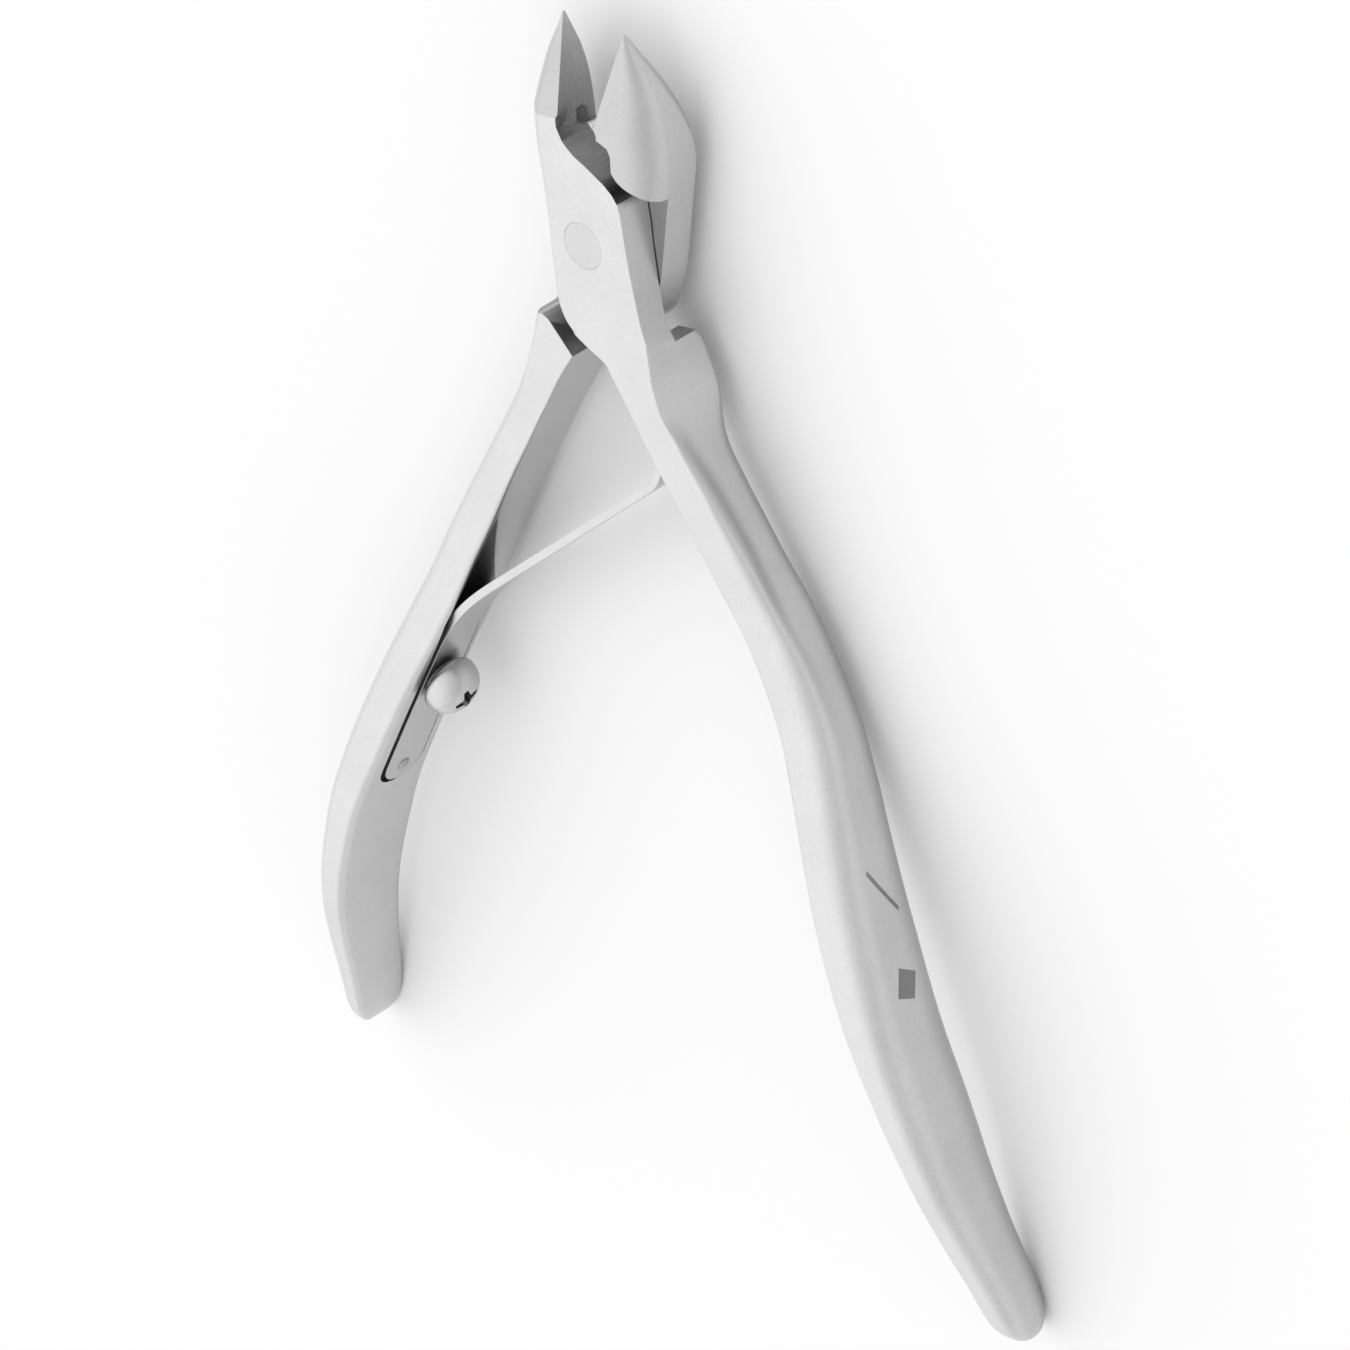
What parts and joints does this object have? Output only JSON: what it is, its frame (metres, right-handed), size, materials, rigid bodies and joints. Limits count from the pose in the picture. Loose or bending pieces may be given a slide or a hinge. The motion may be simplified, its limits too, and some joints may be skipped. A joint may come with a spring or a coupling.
{
  "type": "cuticle nipper",
  "caption": "Steel cuticle nipper with a lap joint, short tapered cutting jaws, curved grips and a leaf return spring, standing open.",
  "frame": {"origin": "where the pivot axis meets the back of the laps, at the centre of the rivet's flush back end", "axes": "+Y from the pivot towards the jaws, +Z out of the front face along the pivot axis, +X to the right seen from the front"},
  "size_m": [0.0658, 0.0953, 0.01],
  "materials": {
    "front_lever": "satin ground, fine brushing along the grips",
    "rear_lever": "satin ground, fine brushing along the grips",
    "pivot_pin": "ground flush with the laps",
    "leaf_spring": "bright spring steel",
    "spring_screw": "polished domed head",
    "spring_peg": "plain turned steel"
  },
  "bodies": {
    "front": {"front_lever": "front_lever", "pivot_pin": "pivot_pin"},
    "rear": {"rear_lever": "rear_lever", "spring_screw": "spring_screw", "spring_peg": "spring_peg"},
    "leaf": {"leaf_spring": "leaf_spring"}
  },
  "joints": [
    {"name": "pivot", "type": "hinge", "parent": "front", "child": "rear", "pos_m": [0, 0, 0], "axis": [0, 0, 1], "range_deg": [0, 19], "stiffness_Nm_per_rad": 0.5},
    {"name": "spring_flex", "type": "hinge", "parent": "rear", "child": "leaf", "pos_m": [-0.01727, -0.03814, 0.00275], "axis": [0, 0, 1], "range_deg": [0, 18], "deforming": ["leaf_spring"]}
  ],
  "couplings": [
    {"joint": "spring_flex", "follows": "pivot", "ratio": 0.9}
  ]
}
